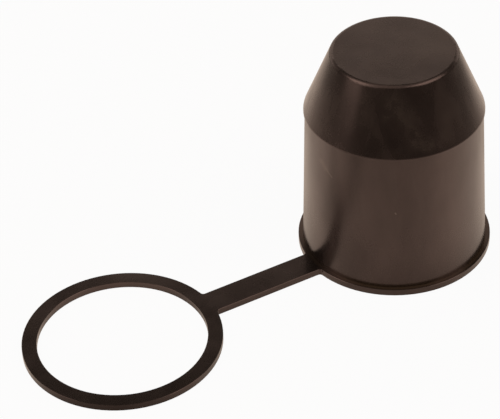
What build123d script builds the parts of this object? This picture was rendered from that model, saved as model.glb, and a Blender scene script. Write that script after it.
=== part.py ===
from build123d import *
from math import atan2, cos, tan
import os

# Tow ball cover, moulded in one piece: a cup that goes over a coupling ball, with its open mouth
# on the XY plane and its closed crown up, and a flat plate round the mouth that runs out along -X
# as a strap and a ring. The ring slips over the ball and keeps the cup on the tow bar.

# Coupling ball and the gaps round it
ball_diameter = 50.0
seat_clearance = 0.05
ring_clearance = 0.25

# Flat plate: flange, strap and ring
plate_thickness = 2.0
flange_overhang = 1.4
strap_length = 35.5
strap_width = 8.75
ring_width = 4.45
strap_root_radius = 1.0
plate_edge_chamfer = 0.1

# Cup outside, from the mouth up
seat_wall = 1.58
skirt_flare = 1.57
shoulder_height = 48.6
rim_overhang = 0.4
rim_height = 0.6
rim_blend_radius = 1.5
cone_height = 19.9
crown_radius = 18.75
crown_edge_radius = 1.4

# Cup inside
wall = 2.0
seat_length = 20.0
seat_blend_radius = 3.0
roof_corner_radius = 2.0
mouth_chamfer = 0.4

# Radii that follow from the ball
seat_radius = ball_diameter / 2 + seat_clearance
body_top_radius = seat_radius + seat_wall
body_foot_radius = body_top_radius + skirt_flare
flange_radius = body_foot_radius + flange_overhang
rim_radius = body_top_radius + rim_overhang
mouth_radius = body_foot_radius - wall
ring_inner_radius = ball_diameter / 2 + ring_clearance
ring_outer_radius = ring_inner_radius + ring_width

# Places that follow from the sizes above
ring_x = -(flange_radius + strap_length + ring_outer_radius)
rim_bottom = shoulder_height - rim_height
crown_height = shoulder_height + cone_height
roof_height = crown_height - wall

# The inside of the cone runs parallel to its outside, one wall further in
cone_lean = atan2(rim_radius - crown_radius, cone_height)
inner_cone_start = rim_radius - wall / cos(cone_lean)
seat_top = shoulder_height + (inner_cone_start - seat_radius) / tan(cone_lean)
seat_bottom = seat_top - seat_length
roof_radius = inner_cone_start - (roof_height - shoulder_height) * tan(cone_lean)

with BuildPart() as tow_ball_cover:
    # Plate in plan: the strap joins the flange and the ring with rounded roots
    with BuildSketch() as plate:
        Circle(flange_radius)
        with Locations((ring_x, 0)):
            Circle(ring_outer_radius)
        with Locations((ring_x / 2, 0)):
            Rectangle(-ring_x, strap_width)
        strap_roots = plate.vertices().sort_by(Axis.X)[:4]
        fillet(strap_roots, radius=strap_root_radius)
        with Locations((ring_x, 0)):
            Circle(ring_inner_radius, mode=Mode.SUBTRACT)
    extrude(amount=plate_thickness)
    chamfer(tow_ball_cover.faces().sort_by(Axis.Z)[-1].edges(), length=plate_edge_chamfer)

    # Cup outside: a flared skirt, a cone with a small rim that stands proud, and a flat crown
    with BuildSketch(Plane.XZ):
        with BuildLine():
            FilletPolyline(
                (0, 0),
                (body_foot_radius, 0),
                (body_top_radius, rim_bottom),
                (rim_radius, rim_bottom),
                (rim_radius, shoulder_height),
                (crown_radius, crown_height),
                (0, crown_height),
                radius=(0, 0, 0, 0, rim_blend_radius, crown_edge_radius, 0),
                close=True,
            )
        make_face()
    revolve(axis=Axis.Z)

    # Cavity: a tapered lead-in, a straight seat for the ball, a conical roof and a flat top
    with BuildSketch(Plane.XZ):
        with BuildLine():
            FilletPolyline(
                (0, 0),
                (mouth_radius, 0),
                (seat_radius, seat_bottom),
                (seat_radius, seat_top),
                (roof_radius, roof_height),
                (0, roof_height),
                radius=(0, 0, 0, seat_blend_radius, roof_corner_radius, 0),
                close=True,
            )
        make_face()
    revolve(axis=Axis.Z, mode=Mode.SUBTRACT)
    underside = tow_ball_cover.faces().sort_by(Axis.Z)[0]
    mouth_edge = underside.inner_wires().sort_by(Axis.X)[-1].edges()
    chamfer(mouth_edge, length=mouth_chamfer)

tow_ball_cover.part.label = "tow_ball_cover"
os.makedirs("parts", exist_ok=True)
export_step(tow_ball_cover.part, "parts/tow_ball_cover.step")
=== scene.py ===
from math import cos, radians, sin

import bpy
from mathutils import Matrix, Vector


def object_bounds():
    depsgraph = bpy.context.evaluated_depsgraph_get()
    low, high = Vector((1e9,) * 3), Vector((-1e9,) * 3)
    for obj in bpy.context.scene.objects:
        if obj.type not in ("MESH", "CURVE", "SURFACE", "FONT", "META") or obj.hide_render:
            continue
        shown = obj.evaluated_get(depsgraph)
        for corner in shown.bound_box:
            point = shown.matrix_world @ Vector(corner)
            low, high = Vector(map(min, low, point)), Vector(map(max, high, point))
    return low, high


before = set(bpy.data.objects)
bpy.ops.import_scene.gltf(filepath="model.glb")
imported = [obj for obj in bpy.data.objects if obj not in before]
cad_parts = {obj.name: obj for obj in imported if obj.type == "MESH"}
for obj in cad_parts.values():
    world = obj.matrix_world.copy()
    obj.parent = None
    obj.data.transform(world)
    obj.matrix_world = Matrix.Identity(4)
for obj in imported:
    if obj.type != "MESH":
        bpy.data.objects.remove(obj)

cad_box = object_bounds()
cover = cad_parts["tow_ball_cover"]
scene = bpy.context.scene
scene.view_settings.view_transform = "Standard"

# Lengths are in metres and angles in degrees, unless a comment says otherwise
MILLIMETRE = 0.001

# Camera: where the photograph was taken from, with distance and sensor in millimetres
IMAGE_WIDTH = 500
IMAGE_HEIGHT = 419
CAMERA_AZIMUTH = -28.098
CAMERA_ELEVATION = 37.633
CAMERA_ROLL = -2.808
CAMERA_DISTANCE = 693.639
FOCAL_PIXELS = 2233.058
ORIGIN_PIXEL = (393.928, 234.242)
SENSOR_WIDTH = 36.0
CLIP_START = 0.01

# Gloss of the plastic
PLASTIC_IOR = 1.74
PLASTIC_TINT = (1.0, 0.72, 0.68, 1.0)
COAT_WEIGHT = 0.3
COAT_ROUGHNESS = 0.28
COAT_IOR = 1.5

# Colours of the plastic and of the marks on it, and how far a mark covers what is under it
DARK_PLASTIC = (0.0070, 0.0053, 0.0044, 1.0)
PALE_PLASTIC = (0.0105, 0.0079, 0.0066, 1.0)
# The scuff and pale-mark colours also paint a highlight onto the cone, through one of the smears
SCUFF_AND_HIGHLIGHT_COLOUR = (0.026, 0.021, 0.018, 1.0)
SCUFF_AND_HIGHLIGHT_COVER = 0.7
PALE_MARK_AND_HIGHLIGHT_COLOUR = (0.040, 0.034, 0.027, 1.0)
PALE_MARK_AND_HIGHLIGHT_COVER = 0.8
WEAR_COLOUR = (0.036, 0.029, 0.024, 1.0)
WEAR_COVER = 0.5
DUST_COLOUR = (0.054, 0.038, 0.024, 1.0)
SCRATCH_COLOUR = (0.14, 0.12, 0.10, 1.0)

# Noise patterns: scale, detail, roughness and distortion
CLOUD_NOISE = (60.0, 3.0, 0.55, 0.0)
GRAIN_NOISE = (2600.0, 2.0, 0.6, 0.0)
SWIRL_NOISE = (95.0, 2.0, 0.5, 1.2)
RUB_NOISE = (150.0, 2.5, 0.5, 0.6)
DRIFT_NOISE = (230.0, 1.0, 0.5, 0.0)
PATCH_NOISE = (380.0, 3.0, 0.5, 0.0)
SMUDGE_NOISE = (130.0, 3.0, 0.6, 0.0)
WAVE_NOISE = (55.0, 1.0, 0.5, 0.0)

# Ramps over those patterns: two noise values, then what each is turned into
CLOUD_COLOUR_RAMP = (0.3, 0.7, 0.0, 1.0)
CLOUD_ROUGHNESS_RAMP = (0.25, 0.75, 0.22, 0.26)
CLOUD_WEAR_RAMP = (0.4, 0.7, 0.0, 1.0)
GRAIN_ROUGHNESS_RAMP = (0.3, 0.7, -0.012, 0.012)
SWIRL_RAMP = (0.35, 0.85, 0.0, 0.4)
RUB_RAMP = (0.40, 0.75, 0.0, 1.0)
PATCH_RAMP = (0.30, 0.70, 0.4, 1.0)
SMUDGE_SPECULAR_RAMP = (0.3, 0.7, 0.445, 0.555)

# Rubbed patches and smudges are drawn out upwards, and smears are blurred by a drift
UPRIGHT_STRETCH = (1.0, 1.0, 0.35)
DRIFT_MIDDLE = (0.5, 0.5, 0.5)
DRIFT_REACH = 0.003

# Ramps over the height: two heights, then the values there
RUB_HEIGHT_RAMP = (0.0024, 0.0036, 0.3, 1.0)
PLATE_ROUGHNESS_RAMP = (0.0024, 0.00216, 0.0, -0.07)
HANDLED_RAMP = (0.010, 0.034, 0.0, 1.0)
BELOW_CONE_RAMP = (0.049, 0.048, 0.0, 1.0)
CONE_RAMP = (0.049, 0.068, -1.0, 1.0)

# What scuffs and handling add to the roughness
SCUFF_ROUGHNESS = 0.08
HANDLED_ROUGHNESS = 0.07

# Dust in the corner between the skirt and the flange, with less of it on the strap's root:
# ramps over the height, over the distance from the cup's axis and along the strap
DUST_HEIGHT_RAMP = (0.0022, 0.0040, 1.0, 0.0)
DUST_OUTER_RAMP = (0.0286, 0.0298, 1.0, 0.0)
DUST_INNER_RAMP = (0.0274, 0.0286, 0.0, 1.0)
DUST_STRAP_RAMP = (-0.0280, -0.0255, 0.3, 1.0)

# Worn edges: the rounding that finds them, and a ramp over how far it turns the normal
EDGE_RADIUS = 0.0005
EDGE_SAMPLES = 4
EDGE_RAMP = (0.985, 0.86, 0.0, 1.0)

# Relief, as strength and height: the cone's bulge, the waves of the mould and its grain
BULGE = (1.0, 0.0002)
WAVE = (0.35, 0.0006)
GRAIN = (0.06, 0.00003)

# Handling marks on the cup's outside, with one painted highlight among them: both ends as degrees
# round the axis and height in millimetres, then the half width in millimetres and the strength
SMEARS_AND_HIGHLIGHT = (
    ((-124.0, 64.2), (-112.0, 60.2), 7.0, 0.6),
    ((-130.0, 59.8), (-117.0, 60.6), 2.6, 0.4),
    ((-117.0, 61.0), (-109.0, 56.2), 3.4, 0.8),
    ((-109.0, 56.2), (-103.0, 51.8), 3.4, 0.8),
    ((-107.5, 52.4), (-100.5, 51.4), 4.4, 1.0),
    # Painted highlight: the soft edge of the cone's left highlight, as a faint pale smear
    ((-146.0, 64.0), (-143.5, 58.0), 6.0, 0.4),
    ((-83.0, 57.6), (-87.0, 52.0), 4.4, 0.6),
)
SCRATCHES = (
    ((-175.0, 40.2), (-171.0, 38.9), 2.4, 0.32),
    ((-171.0, 38.9), (-165.5, 37.1), 0.6, 0.5),
    ((-121.9, 29.4), (-121.5, 29.0), 0.45, 1.0),
)

# Lighter patch on one side of the crown
CROWN_PATCH_CENTRE = (0.0130, -0.0050, 0.0685)
CROWN_PATCH_RADIUS = 0.014
CROWN_PATCH_STRENGTH = 0.7

# Surroundings: white to the camera and warm to the object
WHITE = (1.0, 1.0, 1.0, 1.0)
WARM_LIGHT = (1.0, 0.81, 0.665, 1.0)

# The room's level, darker towards the ceiling: a ramp over the height of a direction
ROOM_RAMP = (0.25, 0.6, 0.12, 0.06)

# Lamps: name, turn from the camera, distance from the cup's axis, height, the height on that
# axis that it is aimed at, the lamp's own width and height, and its power in watts
LAMP_COLOUR = (1.0, 0.83, 0.71)
SOFTBOXES = (
    ("left_softbox", -84.0, 0.64, 0.77, 0.0, 0.5, 0.6, 1.1),
    ("right_softbox", 70.0, 0.64, 0.77, 0.0, 0.7, 0.7, 2.25),
    ("overhead", 0.0, 0.20, 1.50, 0.0, 2.2, 2.2, 6.0),
    ("left_window", -72.0, 0.74, 0.48, 0.05, 0.46, 0.80, 0.90),
    ("backdrop", 181.0, 0.80, 0.317, 0.317, 2.4, 0.634, 2.8),
)

# Floor: white paper just under the object. Where it is seen, FLOOR_WHITE of it is even light of
# its own, and the rest is lit by the lamps, which leaves a faint shadow.
FLOOR_HALF = 6.0
FLOOR_DROP = 0.00005
PAPER_COLOUR = (0.92, 0.92, 0.92, 1.0)
FLOOR_WHITE = 0.95

# In gloss the floor is shaded where it meets the object, and dimmer in front of it: a ramp over
# the cosine of the angle from that direction
CONTACT_REACH = 0.025
CONTACT_SAMPLES = 8
CONTACT_LEAST = 0.7
FRONT_AZIMUTH = CAMERA_AZIMUTH - 5.0
FRONT_RAMP = (0.5, 1.0, 1.0, 0.68)

# Its level in gloss also changes round four places: round the whole object, by the near side of
# the ring, behind the strap and in front of it. Each has a centre, two radii and the levels there.
FLOOR_LEVELS = (
    ((-0.040, 0.022, 0.0), (0.140, 0.300, 1.0, 0.22)),
    ((-0.122, -0.034, 0.0), (0.012, 0.042, 0.42, 1.0)),
    ((-0.060, 0.008, 0.0), (0.004, 0.022, 0.60, 1.0)),
    ((-0.044, -0.016, 0.0), (0.006, 0.020, 0.82, 1.0)),
)


class Nodes:
    """A node tree, emptied, with a short call for each kind of node that is used here."""

    def __init__(self, tree):
        self.tree = tree
        tree.nodes.clear()

    def add(self, kind, inputs=None, **settings):
        """A new node, with each input linked to another node's output or set to a value."""
        node = self.tree.nodes.new(kind)
        for name, value in settings.items():
            setattr(node, name, value)
        for name, value in (inputs or {}).items():
            if isinstance(value, bpy.types.NodeSocket):
                self.tree.links.new(value, node.inputs[name])
            else:
                node.inputs[name].default_value = value
        return node

    def math(self, operation, first, *others):
        """The values combined one after the other."""
        for other in others:
            node = self.add("ShaderNodeMath", {0: first, 1: other}, operation=operation)
            first = node.outputs["Value"]
        return first

    def vector(self, operation, first, second=(0.0, 0.0, 0.0)):
        node = self.add("ShaderNodeVectorMath", {0: first, 1: second}, operation=operation)
        return node.outputs["Vector"]

    def dot(self, first, second):
        node = self.add("ShaderNodeVectorMath", {0: first, 1: second}, operation="DOT_PRODUCT")
        return node.outputs["Value"]

    def distance(self, first, second):
        offset = self.vector("SUBTRACT", first, second)
        return self.add("ShaderNodeVectorMath", {0: offset}, operation="LENGTH").outputs["Value"]

    def scale(self, vector, factor):
        node = self.add("ShaderNodeVectorMath", {0: vector, "Scale": factor}, operation="SCALE")
        return node.outputs["Vector"]

    def ramp(self, value, low, high, start, end, smooth=True):
        """The value turned from low to high into start to end, and held there beyond them."""
        kind = "SMOOTHSTEP" if smooth else "LINEAR"
        node = self.add("ShaderNodeMapRange",
                        {"Value": value, "From Min": low, "From Max": high, "To Min": start, "To Max": end},
                        interpolation_type=kind)
        return node.outputs["Result"]

    def noise(self, place, pattern, output="Fac"):
        scale, detail, roughness, distortion = pattern
        node = self.add("ShaderNodeTexNoise",
                        {"Vector": place, "Scale": scale, "Detail": detail,
                         "Roughness": roughness, "Distortion": distortion})
        return node.outputs[output]

    def mix(self, factor, under, over):
        """Two colours mixed, through the sockets that the node has for colours."""
        node = self.add("ShaderNodeMix", {0: factor, 6: under, 7: over}, data_type="RGBA")
        return node.outputs[2]

    def bump(self, relief, height, normal=None, invert=False):
        strength, distance = relief
        inputs = {"Strength": strength, "Distance": distance, "Height": height}
        if normal is not None:
            inputs["Normal"] = normal
        return self.add("ShaderNodeBump", inputs, invert=invert).outputs["Normal"]


def new_material(name):
    material = bpy.data.materials.new(name)
    material.use_nodes = True
    return material, Nodes(material.node_tree)


def bearing(azimuth):
    """The level direction in which a camera at this azimuth stands."""
    turn = radians(azimuth)
    return Vector((sin(turn), -cos(turn), 0.0))


def on_cup(angle, height):
    """The point of the cup's outside at an angle round its axis and a height in millimetres.

    A ray finds it, from twice the flange's radius away.
    """
    turn = radians(angle)
    outwards = Vector((cos(turn), sin(turn), 0.0))
    on_axis = Vector((0.0, 0.0, height * MILLIMETRE))
    outside = on_axis + outwards * cad_box[1].x * 2
    return cover.ray_cast(outside, -outwards)[1]


def marks(nodes, place, strokes):
    """How strongly strokes show at a place: most on a stroke's line, and fading over its half width."""
    total = 0.0
    for first, last, half_width, strength in strokes:
        start = on_cup(*first)
        run = on_cup(*last) - start
        offset = nodes.vector("SUBTRACT", place, start)
        along = nodes.ramp(nodes.dot(offset, run / run.length_squared), 0.0, 1.0, 0.0, 1.0, smooth=False)
        gap = nodes.distance(offset, nodes.scale(run, along))
        fade = nodes.ramp(gap, half_width * MILLIMETRE, 0.0, 0.0, 1.0)
        total = nodes.math("MAXIMUM", total, nodes.math("MULTIPLY", fade, fade, strength))
    return total


def cover_plastic():
    """Soft black plastic with a brown cast, satin from the mould, a little scuffed by handling."""
    material, nodes = new_material("cover_plastic")
    place = nodes.add("ShaderNodeTexCoord").outputs["Object"]
    axes = nodes.add("ShaderNodeSeparateXYZ", {0: place}).outputs
    along_strap = axes["X"]
    height = axes["Z"]
    on_axis = nodes.add("ShaderNodeCombineXYZ", {"Z": height}).outputs["Vector"]
    from_axis = nodes.distance(place, on_axis)
    upright = nodes.vector("MULTIPLY", place, UPRIGHT_STRETCH)
    cloud = nodes.noise(place, CLOUD_NOISE)
    grain = nodes.noise(place, GRAIN_NOISE)

    # Smears on the cone, one a painted highlight, broken into patches, and a lighter patch on the crown
    drift = nodes.vector("SUBTRACT", nodes.noise(place, DRIFT_NOISE, "Color"), DRIFT_MIDDLE)
    blurred = nodes.vector("ADD", place, nodes.scale(drift, DRIFT_REACH))
    patches = nodes.ramp(nodes.noise(place, PATCH_NOISE), *PATCH_RAMP)
    smears_and_highlight = nodes.math("MULTIPLY", marks(nodes, blurred, SMEARS_AND_HIGHLIGHT), patches)
    crown_patch = nodes.ramp(nodes.distance(place, CROWN_PATCH_CENTRE), CROWN_PATCH_RADIUS, 0.0, 0.0, CROWN_PATCH_STRENGTH)
    pale_marks_and_highlight = nodes.math("MAXIMUM", smears_and_highlight, crown_patch)

    # Scuffs: swirls, patches rubbed by handling, fewer on the flat plate, and the pale marks with the
    # painted highlight
    swirl = nodes.ramp(nodes.noise(place, SWIRL_NOISE), *SWIRL_RAMP)
    rubbed = nodes.ramp(nodes.noise(upright, RUB_NOISE), *RUB_RAMP)
    rubbed = nodes.math("MULTIPLY", rubbed, nodes.ramp(height, *RUB_HEIGHT_RAMP))
    scuff_and_highlight = nodes.math("MAXIMUM", swirl, rubbed, pale_marks_and_highlight)

    dust = nodes.math("MULTIPLY",
                      nodes.ramp(height, *DUST_HEIGHT_RAMP),
                      nodes.ramp(from_axis, *DUST_OUTER_RAMP),
                      nodes.ramp(from_axis, *DUST_INNER_RAMP),
                      nodes.ramp(along_strap, *DUST_STRAP_RAMP))
    scratch = marks(nodes, place, SCRATCHES)

    # Worn edges, where a rounded normal leaves the face's own
    rounded = nodes.add("ShaderNodeBevel", {"Radius": EDGE_RADIUS}, samples=EDGE_SAMPLES)
    face = nodes.add("ShaderNodeNewGeometry")
    edge = nodes.ramp(nodes.dot(rounded.outputs["Normal"], face.outputs["Normal"]), *EDGE_RAMP)
    wear = nodes.math("MULTIPLY", edge, nodes.ramp(cloud, *CLOUD_WEAR_RAMP))

    base = nodes.mix(nodes.ramp(cloud, *CLOUD_COLOUR_RAMP), DARK_PLASTIC, PALE_PLASTIC)
    # Over the real marks, the scuff and pale-mark colours also paint a highlight onto the cone
    base = nodes.mix(nodes.math("MULTIPLY", scuff_and_highlight, SCUFF_AND_HIGHLIGHT_COVER), base, SCUFF_AND_HIGHLIGHT_COLOUR)
    base = nodes.mix(nodes.math("MULTIPLY", pale_marks_and_highlight, PALE_MARK_AND_HIGHLIGHT_COVER), base, PALE_MARK_AND_HIGHLIGHT_COLOUR)
    base = nodes.mix(nodes.math("MULTIPLY", wear, WEAR_COVER), base, WEAR_COLOUR)
    base = nodes.mix(dust, base, DUST_COLOUR)
    base = nodes.mix(scratch, base, SCRATCH_COLOUR)

    # The skirt is rougher where it is handled, and the plate is smoother
    handled = nodes.math("MULTIPLY",
                         nodes.ramp(height, *HANDLED_RAMP),
                         nodes.ramp(height, *BELOW_CONE_RAMP))
    rough = nodes.math("ADD",
                       nodes.ramp(cloud, *CLOUD_ROUGHNESS_RAMP, smooth=False),
                       nodes.math("MULTIPLY", scuff_and_highlight, SCUFF_ROUGHNESS),
                       nodes.ramp(grain, *GRAIN_ROUGHNESS_RAMP, smooth=False),
                       nodes.ramp(height, *PLATE_ROUGHNESS_RAMP),
                       nodes.math("MULTIPLY", handled, HANDLED_ROUGHNESS))
    smudge = nodes.ramp(nodes.noise(upright, SMUDGE_NOISE), *SMUDGE_SPECULAR_RAMP, smooth=False)

    up_cone = nodes.ramp(height, *CONE_RAMP, smooth=False)
    normal = nodes.bump(BULGE, nodes.math("MULTIPLY", up_cone, up_cone), invert=True)
    normal = nodes.bump(WAVE, nodes.noise(place, WAVE_NOISE), normal)
    normal = nodes.bump(GRAIN, grain, normal)

    shader = nodes.add("ShaderNodeBsdfPrincipled", {
        "Base Color": base,
        "Roughness": rough,
        "IOR": PLASTIC_IOR,
        "Specular IOR Level": smudge,
        "Specular Tint": PLASTIC_TINT,
        "Normal": normal,
        "Coat Weight": COAT_WEIGHT,
        "Coat Roughness": COAT_ROUGHNESS,
        "Coat IOR": COAT_IOR,
        "Coat Normal": normal,
    })
    nodes.add("ShaderNodeOutputMaterial", {"Surface": shader.outputs[0]})
    return material


def floor_paper():
    """White paper, seen white with a faint shadow left on it; gloss shows it as a warm pool of light."""
    material, nodes = new_material("floor_paper")
    paper = nodes.add("ShaderNodeBsdfDiffuse", {"Color": PAPER_COLOUR})
    path = nodes.add("ShaderNodeLightPath").outputs
    by_camera = path["Is Camera Ray"]
    seen = nodes.math("MAXIMUM", by_camera, path["Is Glossy Ray"], path["Is Transmission Ray"])

    position = nodes.add("ShaderNodeNewGeometry").outputs["Position"]
    contact = nodes.add("ShaderNodeAmbientOcclusion", {"Distance": CONTACT_REACH}, samples=CONTACT_SAMPLES)
    frontal = nodes.dot(nodes.vector("NORMALIZE", position), bearing(FRONT_AZIMUTH))
    pool = nodes.math("MULTIPLY",
                      nodes.math("MAXIMUM", contact.outputs["AO"], CONTACT_LEAST),
                      nodes.ramp(frontal, *FRONT_RAMP, smooth=False))
    for centre, levels in FLOOR_LEVELS:
        pool = nodes.math("MULTIPLY", pool, nodes.ramp(nodes.distance(position, centre), *levels))

    glow = nodes.add("ShaderNodeEmission", {
        "Color": nodes.mix(by_camera, WARM_LIGHT, WHITE),
        "Strength": nodes.math("MAXIMUM", pool, by_camera),
    })
    share = nodes.math("MULTIPLY", seen, FLOOR_WHITE)
    mixed = nodes.add("ShaderNodeMixShader", {0: share, 1: paper.outputs[0], 2: glow.outputs[0]})
    nodes.add("ShaderNodeOutputMaterial", {"Surface": mixed.outputs[0]})
    return material


def add_floor():
    """A large square of paper, just under the object's lowest point."""
    half = FLOOR_HALF
    corners = [(-half, -half, 0), (half, -half, 0), (half, half, 0), (-half, half, 0)]
    mesh = bpy.data.meshes.new("floor")
    mesh.from_pydata(corners, [], [(0, 1, 2, 3)])
    mesh.materials.append(floor_paper())
    floor = bpy.data.objects.new("floor", mesh)
    floor.location.z = cad_box[0].z - FLOOR_DROP
    scene.collection.objects.link(floor)


def set_world():
    """The room, with little light of its own; the camera sees it white."""
    world = bpy.data.worlds.new("studio")
    world.use_nodes = True
    scene.world = world
    nodes = Nodes(world.node_tree)
    direction = nodes.add("ShaderNodeTexCoord").outputs["Generated"]
    height = nodes.add("ShaderNodeSeparateXYZ", {0: direction}).outputs["Z"]
    by_camera = nodes.add("ShaderNodeLightPath").outputs["Is Camera Ray"]
    background = nodes.add("ShaderNodeBackground", {
        "Color": nodes.mix(by_camera, WARM_LIGHT, WHITE),
        "Strength": nodes.math("MAXIMUM", nodes.ramp(height, *ROOM_RAMP), by_camera),
    })
    nodes.add("ShaderNodeOutputWorld", {"Surface": background.outputs[0]})


def add_softbox(name, turn, reach, rise, aim, width, height, power):
    """A flat lamp that faces a point on the cup's axis."""
    position = bearing(CAMERA_AZIMUTH + turn) * reach + Vector((0.0, 0.0, rise))
    aim_at = Vector((0.0, 0.0, aim))
    data = bpy.data.lights.new(name, "AREA")
    data.shape = "RECTANGLE"
    data.size = width
    data.size_y = height
    data.energy = power
    data.color = LAMP_COLOUR
    lamp = bpy.data.objects.new(name, data)
    lamp.location = position
    lamp.rotation_euler = (aim_at - position).to_track_quat("-Z", "Y").to_euler()
    scene.collection.objects.link(lamp)


def add_camera():
    """The photograph's view: a turn round the cup's axis, a tilt and a small roll."""
    turn = radians(CAMERA_AZIMUTH)
    tilt = radians(CAMERA_ELEVATION)
    roll = radians(CAMERA_ROLL)
    back = Vector((sin(turn) * cos(tilt), -cos(turn) * cos(tilt), sin(tilt)))
    level = Vector((cos(turn), sin(turn), 0.0))
    rise = back.cross(level)
    right = cos(roll) * level + sin(roll) * rise
    up = cos(roll) * rise - sin(roll) * level
    pixel = CAMERA_DISTANCE / FOCAL_PIXELS
    across = (ORIGIN_PIXEL[0] - IMAGE_WIDTH / 2) * pixel
    down = (ORIGIN_PIXEL[1] - IMAGE_HEIGHT / 2) * pixel
    position = (back * CAMERA_DISTANCE - right * across + up * down) * MILLIMETRE
    data = bpy.data.cameras.new("camera")
    data.sensor_fit = "HORIZONTAL"
    data.sensor_width = SENSOR_WIDTH
    data.lens = FOCAL_PIXELS / IMAGE_WIDTH * SENSOR_WIDTH
    data.clip_start = CLIP_START
    camera = bpy.data.objects.new("camera", data)
    camera.matrix_world = Matrix((
        (right.x, up.x, back.x, position.x),
        (right.y, up.y, back.y, position.y),
        (right.z, up.z, back.z, position.z),
        (0.0, 0.0, 0.0, 1.0),
    ))
    scene.collection.objects.link(camera)
    scene.camera = camera


plastic = cover_plastic()
for slot in cover.material_slots:
    slot.material = plastic

add_floor()
set_world()
for softbox in SOFTBOXES:
    add_softbox(*softbox)
add_camera()
